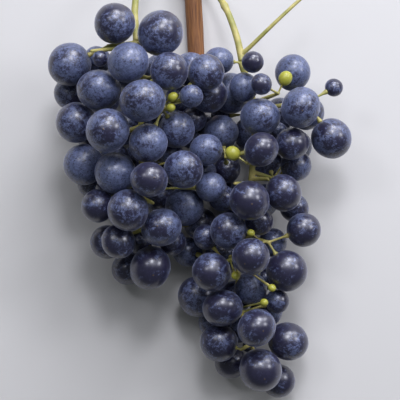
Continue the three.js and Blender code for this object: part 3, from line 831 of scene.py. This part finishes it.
def green_stem():
    """Young stem tissue: yellow-green, smooth and a little waxy, with small brown corky specks."""
    material, tree, shader = new_material("green_grape_stem")
    place = add_node(tree, "ShaderNodeTexCoord")["Object"]
    shade = ramp(tree, noise(tree, place, 7 * MM, detail=3), start=0.35, end=0.65)
    green = blend(tree, shade, "#868641", "#b1a562")
    specks = add_node(tree, "ShaderNodeTexVoronoi", {"Vector": place, "Scale": 1 / (1.4 * MM)})["Distance"]
    corky = ramp(tree, specks, start=0.1, end=0.2, low=0.7, high=0)
    colour = blend(tree, corky, green, "#7a5c38")
    normal = bump(tree, corky, strength=0.3, distance=0.1 * MM)
    set_shader(tree, shader, {"Base Color": colour, "Roughness": 0.5, "Normal": normal})
    return material


stems_on_lines = stems_tree()
stem_skin = green_stem()
for bunch in BUNCHES:
    side = bunch["name"]
    lines = [
        tapered(smooth(bunch["peduncle"], STEPS["peduncle"]), PEDUNCLE_RADII),
        tapered(smooth(bunch["stalk"], STEPS["stalk"]), STALK_RADII),
    ]
    if bunch is RIGHT:
        lines.append(tapered(smooth(SIDE_ARM, STEPS["side_arm"]), SIDE_ARM_RADII))
    for root, tip in bunch["arms"]:
        lines.append(tapered(straight(root, tip, STEPS["straight"]), ARM_RADII))
    for berry in bunch["berries"]:
        end = berry["centre"] + berry["axis"] * berry["radius"] * PEDICEL_REACH
        radii = SHOT_PEDICEL_RADII if berry["shot"] else PEDICEL_RADII
        lines.append(tapered(straight(berry["foot"], end, STEPS["straight"]), radii))
    piece = grown(
        f"{side}_stalk_and_peduncle",
        stems_on_lines,
        stem_lines(f"{side}_stems", lines),
        sides=STEM_SIDES,
        ridge_depth=0.0,
        ridge_width=1 * MM,
        skin=stem_skin,
        cut=stem_skin,
    )
    remesh = piece.modifiers.new("one skin", "REMESH")
    remesh.mode = "VOXEL"
    remesh.voxel_size = SKIN_VOXEL
    remesh.use_smooth_shade = True
    even = piece.modifiers.new("even", "SMOOTH")
    even.factor = SMOOTHING["factor"]
    even.iterations = SMOOTHING["iterations"]
    as_plain_mesh(piece)
    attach(piece, "root")
    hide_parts(f"{side}_stalk", f"{side}_peduncle")

# Cane.
# Last summer's shoot has ripened into a hard, reddish brown cane with fine ridges along it. It swells
# at each knot, where a bunch grows on one side and a scaly bud on the other. Both ends are clean cuts.
CANE_RADIUS = 3.9
CANE_STEPS = 150
CANE_SIDES = 48
KNOTS = [
    {"place": (-6.2, 123, 5.5), "bud_side": 1},
    {"place": (-4, 104.5, 5.5), "bud_side": -1},
]
KNOT = {"extra": 1.5, "half_length": 6}
BUD = {"half_length": 3.25, "out": 4.9, "up": 2.5, "lean": 0.5}
BUD_SCALES = [
    (0, 1.5), (0.18, 2), (0.4, 2.05), (0.43, 1.8), (0.64, 1.6), (0.67, 1.3), (0.85, 0.75), (1, 0.12),
]
BARK_RIDGE = {"depth": 0.5 * MM, "width": 1.1 * MM}
PITH_EDGE = {"start": 1 * MM, "end": 1.3 * MM}  # from the middle of the cut
BARK_EDGE = {"start": 3.4 * MM, "end": 3.6 * MM}


def cane_bark():
    """Ripened cane bark: reddish brown, dry and finely striped along its length."""
    material, tree, shader = new_material("ripened_cane_bark")
    local = add_node(tree, "ShaderNodeAttribute", attribute_name="bark")["Vector"]
    drawn_out = vector(tree, "MULTIPLY", {0: local, 1: DRAWN_OUT})
    fibres = noise(tree, drawn_out, 0.7 * MM, detail=4, roughness=0.6)
    colour = blend(tree, ramp(tree, fibres, start=0.3, end=0.7), "#57331c", "#956436")
    normal = bump(tree, fibres, strength=0.6, distance=0.2 * MM)
    set_shader(tree, shader, {"Base Color": colour, "Roughness": 0.72, "Normal": normal})
    return material


def cut_wood():
    """A clean cut across the cane: brown pith, cream wood with rays, and a thin rim of bark."""
    material, tree, shader = new_material("cut_cane_wood")
    local = add_node(tree, "ShaderNodeAttribute", attribute_name="bark")["Vector"]
    across = vector(tree, "MULTIPLY", {0: local, 1: (1, 1, 0)})
    out = add_node(tree, "ShaderNodeVectorMath", {0: across}, operation="LENGTH")["Value"]
    way = vector(tree, "NORMALIZE", {0: across})
    rays = add_node(tree, "ShaderNodeTexNoise", {"Vector": way, "Scale": 9, "Detail": 2})["Fac"]
    wood = blend(tree, rays, "#b39a68", "#d9c99a")
    inside = blend(tree, ramp(tree, out, **PITH_EDGE), "#7d5f3e", wood)
    colour = blend(tree, ramp(tree, out, **BARK_EDGE), inside, "#4a2f20")
    set_shader(tree, shader, {"Base Color": colour, "Roughness": 0.8})
    return material


def bud_line(knot):
    """A bud of overlapping scales beside a knot, as a stem's points with their thickness."""
    turn = BUD["lean"] * knot["bud_side"]
    along = np.array((math.sin(turn), math.cos(turn), 0)) * BUD["half_length"]
    middle = np.array(knot["place"]) + (BUD["out"] * knot["bud_side"], BUD["up"], 0)
    return tapered(straight(middle - along, middle + along, STEPS["bud"]), BUD_SCALES)


cane_line = []
for point in smooth(CANE, CANE_STEPS):
    swelling = 0
    for knot in KNOTS:
        away = np.linalg.norm(point - np.array(knot["place"])) / KNOT["half_length"]
        swelling += KNOT["extra"] * max(0, 1 - away * away)
    cane_line.append((*point, CANE_RADIUS + swelling))
cane = grown(
    "cane_with_bark",
    stems_on_lines,
    stem_lines("cane", [cane_line, *[bud_line(knot) for knot in KNOTS]]),
    sides=CANE_SIDES,
    ridge_depth=BARK_RIDGE["depth"],
    ridge_width=BARK_RIDGE["width"],
    skin=cane_bark(),
    cut=cut_wood(),
)
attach(cane, "root")
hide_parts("cane")

# Floor and light.
# A plain pale floor. The light is soft and comes mostly from above the bunches' shoulders, a little
# to the right, as open sky lights a hanging bunch.
FLOOR_SIZE = 6


def pale_floor():
    """Matt painted board, off-white."""
    material, tree, shader = new_material("pale_floor")
    set_shader(tree, shader, {"Base Color": linear("#cac8c3"), "Roughness": 0.9})
    return material


half = FLOOR_SIZE / 2
floor_mesh = bpy.data.meshes.new("floor")
floor_corners = [(-half, -half, 0), (half, -half, 0), (half, half, 0), (-half, half, 0)]
floor_mesh.from_pydata(floor_corners, [], [(0, 1, 2, 3)])
floor_mesh.materials.append(pale_floor())
floor = bpy.data.objects.new("floor", floor_mesh)
scene.collection.objects.link(floor)

LIGHTS = {
    "soft_box_over": {"way": (0.06, 0.6, 0.8), "size": 0.26, "power": 5.5},
    "soft_box_left": {"way": (-0.45, 0.42, 0.8), "size": 0.2, "power": 1.8},
    "soft_box_right": {"way": (0.74, 0.34, 0.58), "size": 0.28, "power": 4.4},
    "soft_box_top": {"way": (0.2, 0.86, 0.46), "size": 0.4, "power": 8},
    "soft_box_corner": {"way": (0.62, 0.74, 0.25), "size": 0.36, "power": 4},
    "wide_box_top": {"way": (0.15, 0.65, 0.75), "size": 1.2, "power": 9},
}
LIGHT_DISTANCE = 1.2
LIGHT_COLOUR = linear("#f0f2ff")[:3]
SKY_STRENGTH = 0.16
for name, lamp in LIGHTS.items():
    light_data = bpy.data.lights.new(name, "AREA")
    light_data.size = lamp["size"]
    light_data.energy = lamp["power"]
    light_data.color = LIGHT_COLOUR
    light = bpy.data.objects.new(name, light_data)
    light.location = Vector(lamp["way"]).normalized() * LIGHT_DISTANCE
    light.rotation_euler = light.location.to_track_quat("Z", "Y").to_euler()
    scene.collection.objects.link(light)
world = bpy.data.worlds.new("soft_sky")
world.use_nodes = True
world.node_tree.nodes["Background"].inputs["Color"].default_value = linear("#dfe6ee")
world.node_tree.nodes["Background"].inputs["Strength"].default_value = SKY_STRENGTH
scene.world = world
